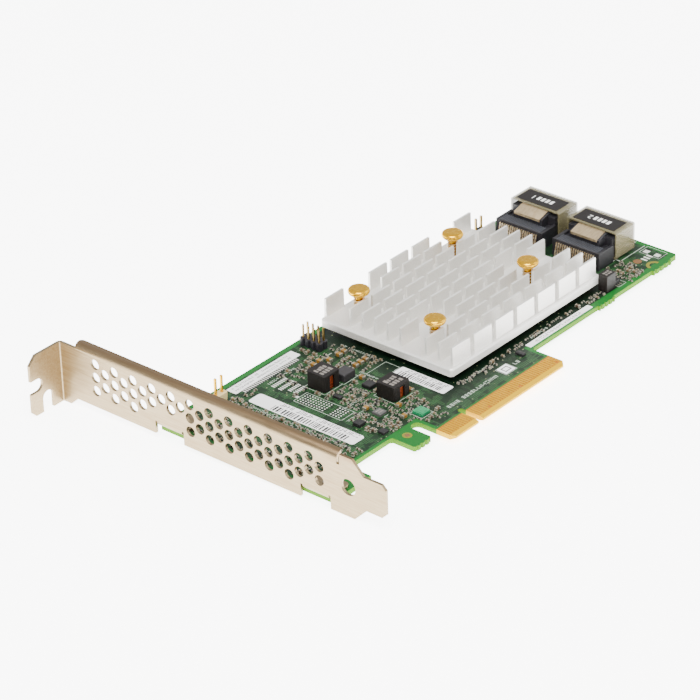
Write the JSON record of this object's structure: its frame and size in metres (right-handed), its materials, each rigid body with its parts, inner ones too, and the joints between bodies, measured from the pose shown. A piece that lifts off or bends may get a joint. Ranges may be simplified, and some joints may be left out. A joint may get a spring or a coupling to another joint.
{
  "type": "raid controller card",
  "caption": "Low-height plug-in storage controller card with a full-height vented bracket, a finned heatsink on sprung push-pins and capped internal cable ports.",
  "frame": {"origin": "centre line of the key notch at the contact edge, on the board's component side", "axes": "+X along the card away from the bracket, +Y from the contact edge to the top edge, +Z out of the component side"},
  "size_m": [0.1813, 0.1199, 0.0209],
  "materials": {
    "board_laminate": "green solder mask over glass-epoxy",
    "contact_gold": "hard gold plate",
    "bracket_steel": "satin nickel-plated sheet steel",
    "screw_steel": "zinc-plated steel",
    "sink_aluminium": "matt cast and machined aluminium",
    "pin_brass": "polished brass",
    "spring_steel": "drawn spring wire",
    "chip_black": "moulded epoxy",
    "pad_grey": "soft filled silicone",
    "port_black": "moulded nylon",
    "tail_copper": "tinned copper alloy",
    "latch_steel": "satin stainless sheet",
    "cap_smoky": "clear moulded plastic, smoky yellow",
    "cap_label_black": "printed film",
    "header_natural": "moulded nylon, natural",
    "header_black": "moulded nylon, black",
    "header_gold": "gold-flashed pins",
    "ferrite": "sintered ferrite",
    "winding_copper": "enamelled copper strip",
    "moulded_grey": "pressed iron powder",
    "oscillator_green": "lacquered lid",
    "ceramic_tan": "fired ceramic",
    "solder_tin": "tin plate",
    "label_white": "coated label paper"
  },
  "bodies": {
    "root": {"circuit_board": "board_laminate", "edge_contacts_front": "contact_gold", "edge_contacts_rear": "contact_gold", "bracket": "bracket_steel", "bracket_screws": "screw_steel", "heatsink": "sink_aluminium", "heatsink_pins": "pin_brass", "pin_springs": "spring_steel", "controller_chip": "chip_black", "thermal_pad": "pad_grey", "port_housing_1": "port_black", "port_housing_2": "port_black", "port_contacts_1": "tail_copper", "port_contacts_2": "tail_copper", "port_latch_1": "latch_steel", "port_latch_2": "latch_steel", "dust_cap_1": "cap_smoky", "dust_cap_2": "cap_smoky", "cap_label_1": "cap_label_black", "cap_label_2": "cap_label_black", "bracket_header_body": "header_natural", "bracket_header_pins": "header_gold", "main_header_body": "header_black", "main_header_pins": "header_gold", "rear_header_body": "header_black", "rear_header_pins": "header_gold", "large_choke_core": "ferrite", "large_choke_winding": "winding_copper", "small_choke_core": "ferrite", "small_choke_winding": "winding_copper", "tall_choke": "ferrite", "moulded_choke": "moulded_grey", "regulator_chip": "chip_black", "memory_chip": "moulded_grey", "driver_chip": "chip_black", "coupler_block": "chip_black", "oscillator": "oscillator_green", "transistors": "chip_black", "capacitor_bodies": "ceramic_tan", "capacitor_ends": "solder_tin", "top_label": "label_white", "bracket_label": "label_white", "middle_label": "label_white", "edge_label": "label_white", "square_label": "label_white"}
  },
  "joints": []
}
